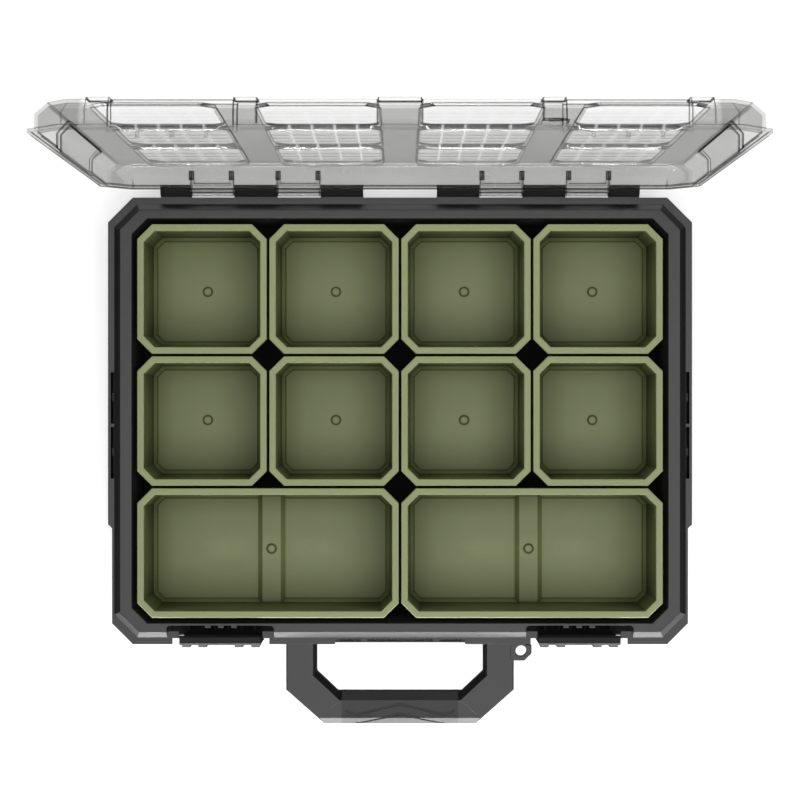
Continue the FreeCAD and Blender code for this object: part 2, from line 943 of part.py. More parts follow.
def make_lid():
    """Clear lid, made closed and then turned open about its hinge."""
    inside = lid_inside(0).fuse(lid_flanks(lid_inside(lid_flank_proud), lid_plate))
    inside = inside.cut(lid_pockets(lid_plate) + lid_panels(panel_edge, lid_plate))
    outside = lid_skin(0).fuse(lid_bands() + lid_flanks(lid_skin(lid_flank_proud), 0))
    outside = outside.cut(lid_pockets(0) + lid_panels(0, 0))
    lip_corner = flange_corner + corner_share * lid_lip_over
    lip = stack(
        [
            ring(
                flange_x + lid_lip_over,
                -flange_y - lid_lip_over,
                flange_y - lid_lip_back,
                lip_corner,
                z,
            )
            for z in (lid_z, lid_z + lid_lip_plate)
        ]
    )
    ledge_cut = box(
        latch_offset - pocket_width / 2,
        latch_offset + pocket_width / 2,
        -flange_y - lid_lip_over - past,
        -ledge_y,
        lid_z - past,
        lid_z + lid_lip_plate + past,
    )
    lip = lip.cut(both_sides([ledge_cut]))
    closed = outside.fuse(lip).cut(inside)
    closed = closed.fuse(both_sides(lid_knuckles()) + lid_tabs())
    closed = closed.fuse(lug(lid_z, lid_z + lid_lug_plate, -lid_wall_y))
    bore = rod(hinge_pin_radius + pin_play, 0, flange_x, hinge_y, hinge_z)
    closed = closed.cut(both_sides([bore]) + [padlock_hole()]).removeSplitter()
    closed.rotate(V(0, hinge_y, hinge_z), V(-1, 0, 0), lid_open)
    return closed


def make_hinge_pin():
    """Right hinge pin, as long as the row of knuckles."""
    tub_spans, _ = knuckle_spans()
    return rod(hinge_pin_radius, tub_spans[0][0], tub_spans[-1][1], hinge_y, hinge_z)


def latch_pin_span():
    """Ends in X of the right latch's pin, flush with the cheeks."""
    half = recess_width / 2 + cheek_plate
    return latch_offset - half, latch_offset + half


def make_latch_pin():
    """Right latch pin."""
    return rod(latch_pin_radius, *latch_pin_span(), -latch_pivot_y, latch_pivot_height)


def make_latch():
    """Right latch, upright with its hook over the closed lid's ledge."""
    back, front = -latch_back, -latch_back - latch_plate
    tip = back + latch_hook_reach
    top = hook_z + latch_hook_plate
    section = [
        (back, latch_pivot_height),
        (back, hook_z),
        (tip, hook_z),
        (tip, hook_z + latch_hook_plate - latch_hook_cam),
        (tip - latch_hook_cam, top),
        (front + latch_edge, top),
        (front, top - latch_edge),
        (front, latch_pivot_height),
    ]
    x0, x1 = latch_offset - latch_width / 2, latch_offset + latch_width / 2
    shapes = [rod(latch_knuckle, x0, x1, -latch_pivot_y, latch_pivot_height)]
    rib_top = top - latch_rib_top
    rib_foot = rib_top - latch_rib_length
    rib = [
        (front, rib_foot),
        (front - latch_rib_proud, rib_foot + latch_rib_proud),
        (front - latch_rib_proud, rib_top - latch_rib_proud),
        (front, rib_top),
    ]
    for middle in (latch_rib_inner, latch_rib_outer):
        for side in (1, -1):
            x = latch_offset + side * middle
            shapes.append(plate_along_x(rib, x - latch_rib_width / 2, x + latch_rib_width / 2))
    bore = rod(latch_pin_radius + pin_play, x0, x1, -latch_pivot_y, latch_pivot_height)
    return plate_along_x(section, x0, x1).fuse(shapes).cut(bore).removeSplitter()


def build():
    """Every node by name."""
    nodes = {
        "case_tub": make_tub(),
        "handle_grip": make_grip(),
        "label_window": make_label_window(),
        "clear_lid": make_lid(),
    }
    for name, shape in (
        ("hinge_pin", make_hinge_pin()),
        ("latch", make_latch()),
        ("latch_pin", make_latch_pin()),
    ):
        nodes[f"{name}_right"] = shape
        nodes[f"{name}_left"] = other_side(shape)
    cups = {}
    for name, columns, x, y in bin_places():
        if columns not in cups:
            cups[columns] = make_bin((columns * pitch - bin_gap) / 2, bin_size / 2, columns > 1)
        cup = cups[columns].copy()
        cup.translate(V(x, y, floor_z))
        nodes[name] = cup
    return nodes


os.makedirs("parts", exist_ok=True)
for node, shape in build().items():
    shape.exportStep(f"parts/{node}.step")
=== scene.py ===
import math
import bpy
from mathutils import Matrix, Vector


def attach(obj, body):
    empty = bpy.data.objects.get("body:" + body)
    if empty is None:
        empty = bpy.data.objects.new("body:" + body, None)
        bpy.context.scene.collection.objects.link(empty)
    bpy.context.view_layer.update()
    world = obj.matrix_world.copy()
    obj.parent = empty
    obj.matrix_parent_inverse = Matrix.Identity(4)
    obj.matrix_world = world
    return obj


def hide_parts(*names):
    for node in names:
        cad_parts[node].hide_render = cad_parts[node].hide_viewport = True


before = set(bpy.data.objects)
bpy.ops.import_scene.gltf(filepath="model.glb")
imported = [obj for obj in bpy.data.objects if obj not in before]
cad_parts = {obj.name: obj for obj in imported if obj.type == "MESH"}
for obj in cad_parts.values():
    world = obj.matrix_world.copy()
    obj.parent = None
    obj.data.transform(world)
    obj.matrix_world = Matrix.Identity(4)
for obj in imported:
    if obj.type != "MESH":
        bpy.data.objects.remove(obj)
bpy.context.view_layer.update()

bpy.ops.object.select_all(action="DESELECT")

# Tub: the lower half of the case with its rim, flange, side rails, hinge brackets and handle frame.
# One injection moulding in black polypropylene, spark-eroded to a fine satin grain.
# It carries every other piece: the grip is moulded on, the pins are pressed in, the bins stand in it.


def linear(code):
    """sRGB hex colour as linear RGBA."""
    parts = [int(code[i:i + 2], 16) / 255 for i in (1, 3, 5)]
    return [c / 12.92 if c <= 0.04045 else ((c + 0.055) / 1.055) ** 2.4 for c in parts] + [1]


def add(tree, kind, inputs=None, **settings):
    """One node with its settings, its input values and the links that feed it."""
    node = tree.nodes.new(kind)
    for name, value in settings.items():
        setattr(node, name, value)
    for name, value in (inputs or {}).items():
        if isinstance(value, bpy.types.NodeSocket):
            tree.links.new(value, node.inputs[name])
        else:
            node.inputs[name].default_value = value
    return node


mm_per_metre = 1000


def moulded(name, dark, pale, rough, grain_mm, grain_depth_mm, edge_mm, painted_highlight_pale, specular):
    """Moulded plastic: faint flow marks in its colour, a fine grain, slightly rounded edges and a painted
    highlight that makes the edges paler.
    """
    flow_mm = 45
    edge_flat, edge_round = 0.995, 0.9
    grain_low, grain_high = 0.3, 0.7
    glossier, duller = 0.04, 0.05
    plastic_ior = 1.49
    material = bpy.data.materials.new(name)
    material.use_nodes = True
    tree = material.node_tree
    shader = tree.nodes["Principled BSDF"]
    place = add(tree, "ShaderNodeTexCoord").outputs["Object"]
    flow = add(
        tree, "ShaderNodeTexNoise",
        {"Vector": place, "Scale": mm_per_metre / flow_mm, "Detail": 3.0, "Roughness": 0.55},
    )
    # A real eroded grain is too fine to show, so it is drawn about 1 mm wide.
    grain = add(
        tree, "ShaderNodeTexNoise", {"Vector": place, "Scale": mm_per_metre / grain_mm, "Detail": 2.0},
    )
    body = add(
        tree, "ShaderNodeMixRGB",
        {"Fac": flow.outputs["Fac"], "Color1": linear(dark), "Color2": linear(pale)},
    )
    flat = add(tree, "ShaderNodeNewGeometry").outputs["Normal"]
    rounded = add(tree, "ShaderNodeBevel", {"Radius": edge_mm / mm_per_metre}, samples=6).outputs["Normal"]
    same = add(tree, "ShaderNodeVectorMath", {0: flat, 1: rounded}, operation="DOT_PRODUCT").outputs["Value"]
    edge = add(tree, "ShaderNodeMapRange", {"Value": same, "From Min": edge_flat, "From Max": edge_round})
    # Painted highlight: the colour is paler along the rounded edges.
    painted_highlight_mix = add(
        tree, "ShaderNodeMixRGB",
        {"Fac": edge.outputs["Result"], "Color1": body.outputs["Color"], "Color2": linear(painted_highlight_pale)},
    )
    gloss = add(
        tree, "ShaderNodeMapRange",
        {
            "Value": grain.outputs["Fac"], "From Min": grain_low, "From Max": grain_high,
            "To Min": rough - glossier, "To Max": rough + duller,
        },
    )
    bump = add(
        tree, "ShaderNodeBump",
        {
            "Height": grain.outputs["Fac"], "Strength": 0.5, "Distance": grain_depth_mm / mm_per_metre,
            "Normal": rounded,
        },
    )
    tree.links.new(painted_highlight_mix.outputs["Color"], shader.inputs["Base Color"])
    tree.links.new(gloss.outputs["Result"], shader.inputs["Roughness"])
    tree.links.new(bump.outputs["Normal"], shader.inputs["Normal"])
    shader.inputs["Specular IOR Level"].default_value = specular
    shader.inputs["IOR"].default_value = plastic_ior
    return material


def dress(node, material):
    """Puts a material in every slot of a carried-over piece."""
    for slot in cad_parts[node].material_slots:
        slot.material = material


# Satin black: the eye sees a dark grey with soft, broad highlights and thin pale lines along the edges,
# painted as a highlight in the colour. Round the bins, on the hinge brackets and in the latch recesses the
# mould was left coarse and has no gloss, and the colour there carries a painted shade, so those places look
# nearly black.
tub_plastic = moulded(
    "black_polypropylene_coarse_and_shade_painted_inside", dark="#151515", pale="#1c1c1c", rough=0.38,
    grain_mm=0.9, grain_depth_mm=0.02, edge_mm=0.5, painted_highlight_pale="#343434", specular=0.5,
)
room_half_x, room_half_y, room_top = 0.2293, 0.1728, 0.054
bracket_y = 0.1925
recess_x, recess_half, recess_y, recess_top = 0.1542, 0.046, -0.1754, 0.0465
coarse_rough, painted_shade_black = 0.95, "#0b0b0b"
tree = tub_plastic.node_tree
shader = tree.nodes["Principled BSDF"]
place = add(tree, "ShaderNodeTexCoord").outputs["Object"]
spot = add(tree, "ShaderNodeSeparateXYZ", {"Vector": place}).outputs
aside = add(tree, "ShaderNodeMath", {0: spot["X"]}, operation="ABSOLUTE").outputs[0]
in_room = [
    add(tree, "ShaderNodeMath", {0: spot["X"], 1: 0.0, 2: room_half_x}, operation="COMPARE").outputs[0],
    add(tree, "ShaderNodeMath", {0: spot["Y"], 1: 0.0, 2: room_half_y}, operation="COMPARE").outputs[0],
    add(tree, "ShaderNodeMath", {0: spot["Z"], 1: room_top}, operation="LESS_THAN").outputs[0],
]
in_recess = [
    add(tree, "ShaderNodeMath", {0: aside, 1: recess_x, 2: recess_half}, operation="COMPARE").outputs[0],
    add(tree, "ShaderNodeMath", {0: spot["Y"], 1: recess_y}, operation="LESS_THAN").outputs[0],
    add(tree, "ShaderNodeMath", {0: spot["Z"], 1: recess_top}, operation="LESS_THAN").outputs[0],
]
on_bracket = [add(tree, "ShaderNodeMath", {0: spot["Y"], 1: bracket_y}, operation="GREATER_THAN").outputs[0]]
coarse_and_shaded = 0.0
for limits in (in_room, in_recess, on_bracket):
    region = 1.0
    for limit in limits:
        region = add(tree, "ShaderNodeMath", {0: region, 1: limit}, operation="MULTIPLY").outputs[0]
    coarse_and_shaded = add(tree, "ShaderNodeMath", {0: coarse_and_shaded, 1: region}, operation="MAXIMUM").outputs[0]
gloss = shader.inputs["Roughness"].links[0].from_socket
dull = add(tree, "ShaderNodeMapRange", {"Value": coarse_and_shaded, "To Min": gloss, "To Max": coarse_rough})
tree.links.new(dull.outputs["Result"], shader.inputs["Roughness"])
body = shader.inputs["Base Color"].links[0].from_socket
# Painted shade: the coarse places are mixed towards near black.
painted_shade_mix = add(tree, "ShaderNodeMixRGB", {"Fac": coarse_and_shaded, "Color1": body, "Color2": linear(painted_shade_black)})
tree.links.new(painted_shade_mix.outputs["Color"], shader.inputs["Base Color"])
dress("case_tub", tub_plastic)

# Handle grip: a soft sleeve on the handle's bar with two chevron grooves.
# Thermoplastic elastomer, moulded over the polypropylene bar in a second shot, so it has no fixings.
# Matt and a shade paler than the tub: the eye sees a soft black without sharp highlights.
soft_elastomer = moulded(
    "matt_black_elastomer", dark="#3a3a3a", pale="#424242", rough=0.7,
    grain_mm=0.7, grain_depth_mm=0.03, edge_mm=0.6, painted_highlight_pale="#4c4c4c", specular=0.3,
)
dress("handle_grip", soft_elastomer)

# Hinge pins and latch pins: four straight rods, pressed through the tub's knuckles and cheeks.
# Bright drawn steel wire, cut to length.
# Long faint draw marks, drawn wide enough to show: the eye sees bright metal with streaks along the rod.
streak_long_mm, streak_wide_mm = 50, 0.4
least_rough, most_rough = 0.22, 0.4
streaks_along, streaks_round = mm_per_metre / streak_long_mm, mm_per_metre / streak_wide_mm
drawn_steel = bpy.data.materials.new("bright_drawn_steel")
drawn_steel.use_nodes = True
tree = drawn_steel.node_tree
shader = tree.nodes["Principled BSDF"]
place = add(tree, "ShaderNodeTexCoord").outputs["Object"]
stretch = add(
    tree, "ShaderNodeMapping", {"Vector": place, "Scale": (streaks_along, streaks_round, streaks_round)},
)
marks = add(tree, "ShaderNodeTexNoise", {"Vector": stretch.outputs["Vector"], "Scale": 1.0, "Detail": 3.0})
bright = add(
    tree, "ShaderNodeMixRGB",
    {"Fac": marks.outputs["Fac"], "Color1": linear("#9a9b9c"), "Color2": linear("#c4c5c6")},
)
drawn = add(
    tree, "ShaderNodeMapRange",
    {"Value": marks.outputs["Fac"], "To Min": least_rough, "To Max": most_rough},
)
tree.links.new(bright.outputs["Color"], shader.inputs["Base Color"])
tree.links.new(drawn.outputs["Result"], shader.inputs["Roughness"])
shader.inputs["Metallic"].default_value = 1.0
for side in ("left", "right"):
    dress(f"hinge_pin_{side}", drawn_steel)
    dress(f"latch_pin_{side}", drawn_steel)

# Latches: two flip plates with a hook along the top and four grip ribs on the face.
# Moulded in black polypropylene, and turning on their pins.
# A deeper grain for the thumb: the eye sees a duller black than the tub's.
grained_polypropylene = moulded(
    "grained_black_polypropylene", dark="#141414", pale="#1a1a1a", rough=0.66,
    grain_mm=0.8, grain_depth_mm=0.04, edge_mm=0.4, painted_highlight_pale="#2e2e2e", specular=0.3,
)
for side in ("left", "right"):
    dress(f"latch_{side}", grained_polypropylene)

# Bins: eight square cups and two double ones with a low hump, standing loose in the tub.
# Injection moulded olive-green polypropylene, a little glossy. Hollows and creases carry a painted shade and
# are duller, level faces are shaded less, and the rims carry a painted light: the eye sees depth in the cups,
# bright rims and a line round each button.
olive_polypropylene = moulded(
    "olive_green_polypropylene", dark="#6a7146", pale="#727a4d", rough=0.46,
    grain_mm=1.1, grain_depth_mm=0.02, edge_mm=0.5, painted_highlight_pale="#81895d", specular=0.4,
)
# Painted shade from each bin's own occlusion darkens hollows and creases; level faces are spared part of it,
# and open level rims get a painted light.
hollow_reach, hollow_shut, hollow_open = 0.06, 0.3, 0.78
hollow_rough, painted_shade_olive = 0.85, "#2a310e"
crease_reach, crease_shut, crease_open = 0.004, 0.35, 0.9
slanting, level_full, painted_light_level_least = 0.5, 0.9, 0.6
rim_start, rim_full, painted_light_olive = 0.88, 0.98, "#8c9468"
tree = olive_polypropylene.node_tree
shader = tree.nodes["Principled BSDF"]
facing = add(tree, "ShaderNodeTexCoord").outputs["Normal"]
upward = add(tree, "ShaderNodeSeparateXYZ", {"Vector": facing}).outputs["Z"]
level = add(
    tree, "ShaderNodeMapRange", {"Value": upward, "From Min": slanting, "From Max": level_full},
).outputs["Result"]
least = add(tree, "ShaderNodeMath", {0: level, 1: painted_light_level_least}, operation="MULTIPLY").outputs[0]
hollow = add(
    tree, "ShaderNodeAmbientOcclusion", {"Distance": hollow_reach}, only_local=True, samples=16,
).outputs["AO"]
crease = add(
    tree, "ShaderNodeAmbientOcclusion", {"Distance": crease_reach}, only_local=True, samples=12,
).outputs["AO"]
lit = add(
    tree, "ShaderNodeMapRange", {"Value": hollow, "From Min": hollow_shut, "From Max": hollow_open},
).outputs["Result"]
lit = add(tree, "ShaderNodeMapRange", {"Value": lit, "To Min": least}).outputs["Result"]
line = add(
    tree, "ShaderNodeMapRange", {"Value": crease, "From Min": crease_shut, "From Max": crease_open},
).outputs["Result"]
lit = add(tree, "ShaderNodeMath", {0: lit, 1: line}, operation="MULTIPLY").outputs[0]
rim = add(
    tree, "ShaderNodeMapRange", {"Value": hollow, "From Min": rim_start, "From Max": rim_full},
).outputs["Result"]
rim = add(tree, "ShaderNodeMath", {0: rim, 1: level}, operation="MULTIPLY").outputs[0]
body = shader.inputs["Base Color"].links[0].from_socket
body = add(
    tree, "ShaderNodeMixRGB", {"Fac": rim, "Color1": body, "Color2": linear(painted_light_olive)},
).outputs["Color"]
painted_shade_mix = add(tree, "ShaderNodeMixRGB", {"Fac": lit, "Color1": linear(painted_shade_olive), "Color2": body})
tree.links.new(painted_shade_mix.outputs["Color"], shader.inputs["Base Color"])
gloss = shader.inputs["Roughness"].links[0].from_socket
dull = add(tree, "ShaderNodeMapRange", {"Value": lit, "To Min": hollow_rough, "To Max": gloss})
tree.links.new(dull.outputs["Result"], shader.inputs["Roughness"])
bins = [f"bin_{row}_{column}" for row in ("back", "middle") for column in (1, 2, 3, 4)]
bins += ["bin_front_left", "bin_front_right"]
for name in bins:
    dress(name, olive_polypropylene)

# Lid: the upper half, hinged at the back, with sunken panels in a waffle of shallow pillows.
# One injection moulding in clear polycarbonate, about 2.5 mm thick.
# Polished panels, satin bands between them and edges painted dark: the eye sees clear plastic, not plain
# glass.
hinge_y, hinge_z, lid_lean = 0.1981, 0.052, math.radians(0.6)
panel_pitch, panel_half_x, panel_half_y, panel_in = 0.113, 0.0417, 0.0537, 0.0171
cell_columns, cell_rows = 5, 6
cell_half = panel_half_x / cell_columns
front_wall_z, back_wall_z, lip_y, plate_y = 0.405, 0.079, 0.2066, 0.2125
field_half_x, field_z, field_half_z = 0.2125, 0.25, 0.165
clear_polycarbonate = bpy.data.materials.new("clear_polycarbonate")
clear_polycarbonate.use_nodes = True
tree = clear_polycarbonate.node_tree
shader = tree.nodes["Principled BSDF"]
place = add(tree, "ShaderNodeTexCoord").outputs
spot = add(tree, "ShaderNodeSeparateXYZ", {"Vector": place["Object"]}).outputs
facing = add(tree, "ShaderNodeSeparateXYZ", {"Vector": place["Normal"]}).outputs

# Distance from the middle of the nearest column of panels: past the panel's edge lie the satin bands.
band_blend, haze_mm = 0.001, 30
polished_rough, hazy_rough, satin_rough = 0.01, 0.05, 0.3
fold = add(tree, "ShaderNodeMath", {0: spot["X"], 1: panel_pitch}, operation="PINGPONG").outputs[0]
fold = add(tree, "ShaderNodeMath", {0: fold, 1: panel_pitch / 2}, operation="SUBTRACT").outputs[0]
fold = add(tree, "ShaderNodeMath", {0: fold}, operation="ABSOLUTE").outputs[0]
band = add(
    tree, "ShaderNodeMapRange",
    {"Value": fold, "From Min": panel_half_x, "From Max": panel_half_x + band_blend},
).outputs["Result"]
low = add(tree, "ShaderNodeMath", {0: spot["Z"], 1: front_wall_z}, operation="LESS_THAN").outputs[0]
back = add(tree, "ShaderNodeMath", {0: spot["Z"], 1: back_wall_z}, operation="LESS_THAN").outputs[0]
satin = add(tree, "ShaderNodeMath", {0: band, 1: low}, operation="MULTIPLY").outputs[0]
satin = add(tree, "ShaderNodeMath", {0: satin, 1: back}, operation="GREATER_THAN").outputs[0]
haze = add(
    tree, "ShaderNodeTexNoise", {"Vector": place["Object"], "Scale": mm_per_metre / haze_mm, "Detail": 3.0},
)
polish = add(
    tree, "ShaderNodeMapRange",
    {"Value": haze.outputs["Fac"], "To Min": polished_rough, "To Max": hazy_rough},
)
polish = add(
    tree, "ShaderNodeMapRange", {"Value": satin, "To Min": polish.outputs["Result"], "To Max": satin_rough},
)
tree.links.new(polish.outputs["Result"], shader.inputs["Roughness"])

# The bands, the back wall and, by about half, the two ends are greyed by a painted shade.
ends_start, ends_full, ends_share = 0.215, 0.217, 0.55
aside = add(tree, "ShaderNodeMath", {0: spot["X"]}, operation="ABSOLUTE").outputs[0]
ends = add(
    tree, "ShaderNodeMapRange",
    {"Value": aside, "From Min": ends_start, "From Max": ends_full, "To Max": ends_share},
).outputs["Result"]
painted_grey_shade = add(tree, "ShaderNodeMath", {0: satin, 1: back}, operation="MAXIMUM").outputs[0]
painted_grey_shade = add(tree, "ShaderNodeMath", {0: painted_grey_shade, 1: ends}, operation="MAXIMUM").outputs[0]
pale = add(
    tree, "ShaderNodeMixRGB", {"Fac": painted_grey_shade, "Color1": linear("#fefefe"), "Color2": linear("#dddddc")},
)

# Edges lead the light away sideways, so their colour carries a painted shade that makes them dark. The lip
# and the pillows stay paler.
edge_radius, edge_flat, edge_round = 0.002, 0.99, 0.94
lip_edge, pillow_edge = 0.2, 0.12
flat = add(tree, "ShaderNodeNewGeometry").outputs["Normal"]
rounded = add(tree, "ShaderNodeBevel", {"Radius": edge_radius}, samples=6).outputs["Normal"]
same = add(tree, "ShaderNodeVectorMath", {0: flat, 1: rounded}, operation="DOT_PRODUCT").outputs["Value"]
edge = add(
    tree, "ShaderNodeMapRange", {"Value": same, "From Min": edge_flat, "From Max": edge_round},
).outputs["Result"]
high = add(tree, "ShaderNodeMath", {0: spot["Z"], 1: front_wall_z}, operation="GREATER_THAN").outputs[0]
near = add(tree, "ShaderNodeMath", {0: spot["Y"], 1: lip_y}, operation="LESS_THAN").outputs[0]
lip = add(tree, "ShaderNodeMath", {0: high, 1: near}, operation="MULTIPLY").outputs[0]
pillows = add(tree, "ShaderNodeMath", {0: fold, 1: panel_half_x}, operation="LESS_THAN").outputs[0]
top_plate = [
    add(tree, "ShaderNodeMath", {0: spot["Y"], 1: plate_y}, operation="GREATER_THAN").outputs[0],
    add(tree, "ShaderNodeMath", {0: spot["Z"], 1: field_z, 2: field_half_z}, operation="COMPARE").outputs[0],
    add(tree, "ShaderNodeMath", {0: spot["X"], 1: 0.0, 2: field_half_x}, operation="COMPARE").outputs[0],
]
for limit in top_plate:
    pillows = add(tree, "ShaderNodeMath", {0: pillows, 1: limit}, operation="MULTIPLY").outputs[0]
for region, share in ((lip, lip_edge), (pillows, pillow_edge)):
    kept = add(tree, "ShaderNodeMapRange", {"Value": region, "To Min": 1.0, "To Max": share})
    edge = add(tree, "ShaderNodeMath", {0: edge, 1: kept.outputs["Result"]}, operation="MULTIPLY").outputs[0]

# The slopes round each panel carry the painted shade too: black at its corners, in dashes along its ends
# where the channels between the pillows break the line, and faint along its sides.
slope_steep, slope_flat = 0.62, 0.72
side_share, side_start, side_full = 0.22, 0.2, 0.45
dash_share, corner_start, corner_full = 0.72, 0.032, 0.034
channel_start, channel_full = 0.0064, 0.0078
channel = add(tree, "ShaderNodeMath", {0: fold, 1: cell_half}, operation="PINGPONG").outputs[0]
channel = add(
    tree, "ShaderNodeMapRange", {"Value": channel, "From Min": channel_start, "From Max": channel_full},
).outputs["Result"]
inner = add(tree, "ShaderNodeMath", {0: fold, 1: panel_half_x - cell_half}, operation="LESS_THAN").outputs[0]
channel = add(tree, "ShaderNodeMath", {0: channel, 1: inner}, operation="MULTIPLY").outputs[0]
tilt = add(tree, "ShaderNodeMath", {0: facing["Y"]}, operation="ABSOLUTE").outputs[0]
slope = add(
    tree, "ShaderNodeMapRange", {"Value": tilt, "From Min": slope_flat, "From Max": slope_steep},
).outputs["Result"]
upright = add(tree, "ShaderNodeMath", {0: facing["Z"]}, operation="ABSOLUTE").outputs[0]
sides = add(
    tree, "ShaderNodeMapRange",
    {"Value": upright, "From Min": side_start, "From Max": side_full, "To Min": side_share},
).outputs["Result"]
corner = add(
    tree, "ShaderNodeMapRange",
    {"Value": fold, "From Min": corner_start, "From Max": corner_full, "To Min": dash_share},
).outputs["Result"]
dash = add(
    tree, "ShaderNodeMapRange", {"Value": channel, "To Min": corner, "To Max": 0.0},
).outputs["Result"]
for limit in top_plate + [sides, dash]:
    slope = add(tree, "ShaderNodeMath", {0: slope, 1: limit}, operation="MULTIPLY").outputs[0]
edge = add(tree, "ShaderNodeMath", {0: edge, 1: slope}, operation="MAXIMUM").outputs[0]
# Painted shade: the edges and slopes are mixed towards near black, in the colour and in what passes straight
# through.
colour = add(
    tree, "ShaderNodeMixRGB", {"Fac": edge, "Color1": pale.outputs["Color"], "Color2": linear("#0c0c0c")},
).outputs["Color"]
tree.links.new(colour, shader.inputs["Base Color"])

# Part of the light goes straight through, most in the front third and in the channels, and all of a lamp's.
# The rest is bent. A faint grey in the thickness gives the plastic its depth.
plastic_ior, grey_density = 1.42, 12.0
third_start, third_full, back_straight, front_straight, channel_straight = 0.3, 0.34, 0.7, 0.97, 0.84
shader.inputs["Transmission Weight"].default_value = 1.0
shader.inputs["IOR"].default_value = plastic_ior
straight = add(
    tree, "ShaderNodeMapRange",
    {
        "Value": spot["Z"], "From Min": third_start, "From Max": third_full,
        "To Min": back_straight, "To Max": front_straight,
    },
).outputs["Result"]
through = add(tree, "ShaderNodeMath", {0: channel, 1: channel_straight}, operation="MULTIPLY").outputs[0]
lamp_ray = add(tree, "ShaderNodeLightPath").outputs["Is Shadow Ray"]
for share in (through, lamp_ray):
    straight = add(tree, "ShaderNodeMath", {0: straight, 1: share}, operation="MAXIMUM").outputs[0]
unbent = add(tree, "ShaderNodeBsdfTransparent", {"Color": colour})
clear = add(
    tree, "ShaderNodeMixShader", {0: straight, 1: shader.outputs["BSDF"], 2: unbent.outputs["BSDF"]},
)
grey = add(tree, "ShaderNodeVolumeAbsorption", {"Color": linear("#c9cbc8"), "Density": grey_density})
finish = tree.nodes["Material Output"]
tree.links.new(clear.outputs["Shader"], finish.inputs["Surface"])
tree.links.new(grey.outputs["Volume"], finish.inputs["Volume"])

# The waffle: each sunken panel carries five by six shallow pillows on the face that looks at the bins.
lid_up = Vector((0, math.sin(lid_lean), math.cos(lid_lean)))
lid_in = Vector((0, -math.cos(lid_lean), math.sin(lid_lean)))
hinge = Vector((0, hinge_y, hinge_z))
weld_gap, flat_angle, smooth_angle = 1e-6, math.radians(0.2), math.radians(36)
square_on, level_error = 0.9999, 0.0002
pillow_foot, pillow_rise = 0.0022, 0.0008
crown_foot, crown_rise = 0.0026, 0.0004
lid = bpy.data.objects.new("lid_moulding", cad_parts["clear_lid"].data.copy())
bpy.context.collection.objects.link(lid)
lid.select_set(True)
bpy.context.view_layer.objects.active = lid
bpy.ops.object.mode_set(mode="EDIT")
bpy.ops.mesh.select_all(action="SELECT")
bpy.ops.mesh.remove_doubles(threshold=weld_gap)
bpy.ops.mesh.dissolve_limited(angle_limit=flat_angle)
bpy.ops.mesh.select_all(action="DESELECT")
bpy.ops.mesh.select_mode(type="FACE")
bpy.ops.object.mode_set(mode="OBJECT")
for face in lid.data.polygons:
    level = -(face.center - hinge).dot(lid_in)
    face.select = face.normal.dot(lid_in) > square_on and abs(level - panel_in) < level_error
bpy.ops.object.mode_set(mode="EDIT")
bpy.ops.mesh.hide(unselected=True)
for column in (-1.5, -0.5, 0.5, 1.5):
    for cell in range(1, cell_columns):
        across = column * panel_pitch + (cell / cell_columns * 2 - 1) * panel_half_x
        bpy.ops.mesh.select_all(action="SELECT")
        bpy.ops.mesh.bisect(plane_co=(across, 0, 0), plane_no=(1, 0, 0))
for row in (-1, 0, 1):
    for cell in range(1, cell_rows):
        along = hinge_y + row * panel_pitch + (cell / cell_rows * 2 - 1) * panel_half_y
        bpy.ops.mesh.select_all(action="SELECT")
        bpy.ops.mesh.bisect(plane_co=hinge + lid_up * along, plane_no=lid_up)
bpy.ops.mesh.select_all(action="SELECT")
bpy.ops.mesh.inset(use_individual=True, thickness=pillow_foot, depth=pillow_rise)
bpy.ops.mesh.inset(use_individual=True, thickness=crown_foot, depth=crown_rise)
bpy.ops.mesh.reveal(select=False)
bpy.ops.mesh.select_all(action="DESELECT")
bpy.ops.object.mode_set(mode="OBJECT")

# Round surfaces and pillows are shaded smooth, and the flat faces of the plate stay flat.
bpy.ops.object.shade_smooth_by_angle(angle=smooth_angle)
for face in lid.data.polygons:
    face.select = abs(face.normal.dot(lid_in)) > square_on
bpy.ops.object.mode_set(mode="EDIT")
bpy.ops.mesh.faces_shade_flat()
bpy.ops.mesh.select_all(action="DESELECT")
bpy.ops.object.mode_set(mode="OBJECT")
lid.data.materials.clear()
lid.data.materials.append(clear_polycarbonate)
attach(lid, "lid")
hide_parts("clear_lid")
bpy.ops.object.select_all(action="DESELECT")

# Lid ribs: eight short stiffeners on the inside of the lid's back wall, beside the hinge knuckles' ends.
# Moulded in one with the lid in clear polycarbonate, with a slot along the middle of each.
# They are all edge, so the lid's painted dark edges cover them, and they hardly shine: the eye sees short
# dark bars.
rib_width, rib_length, rib_height = 0.0044, 0.0078, 0.0032
slot_width, slot_length, slot_depth = 0.0009, 0.0062, 0.0019
rib_middle, rib_foot = 0.2098, 0.0624
rib_places = (0.0700, 0.1041, 0.1440, 0.1781)
rib_specular = 0.1
bpy.ops.mesh.primitive_cube_add(size=1, location=(0, 0, 0))
pattern = bpy.context.object
pattern.scale = (rib_width, rib_length, rib_height)
bpy.ops.object.transform_apply(location=False, rotation=False, scale=True)
bpy.ops.object.mode_set(mode="EDIT")
for side in (-1, 1):
    bpy.ops.mesh.select_all(action="SELECT")
    bpy.ops.mesh.bisect(plane_co=(side * slot_width / 2, 0, 0), plane_no=(1, 0, 0))
    bpy.ops.mesh.select_all(action="SELECT")
    bpy.ops.mesh.bisect(plane_co=(0, side * slot_length / 2, 0), plane_no=(0, 1, 0))
bpy.ops.mesh.select_mode(type="FACE")
bpy.ops.mesh.select_all(action="DESELECT")
bpy.ops.object.mode_set(mode="OBJECT")
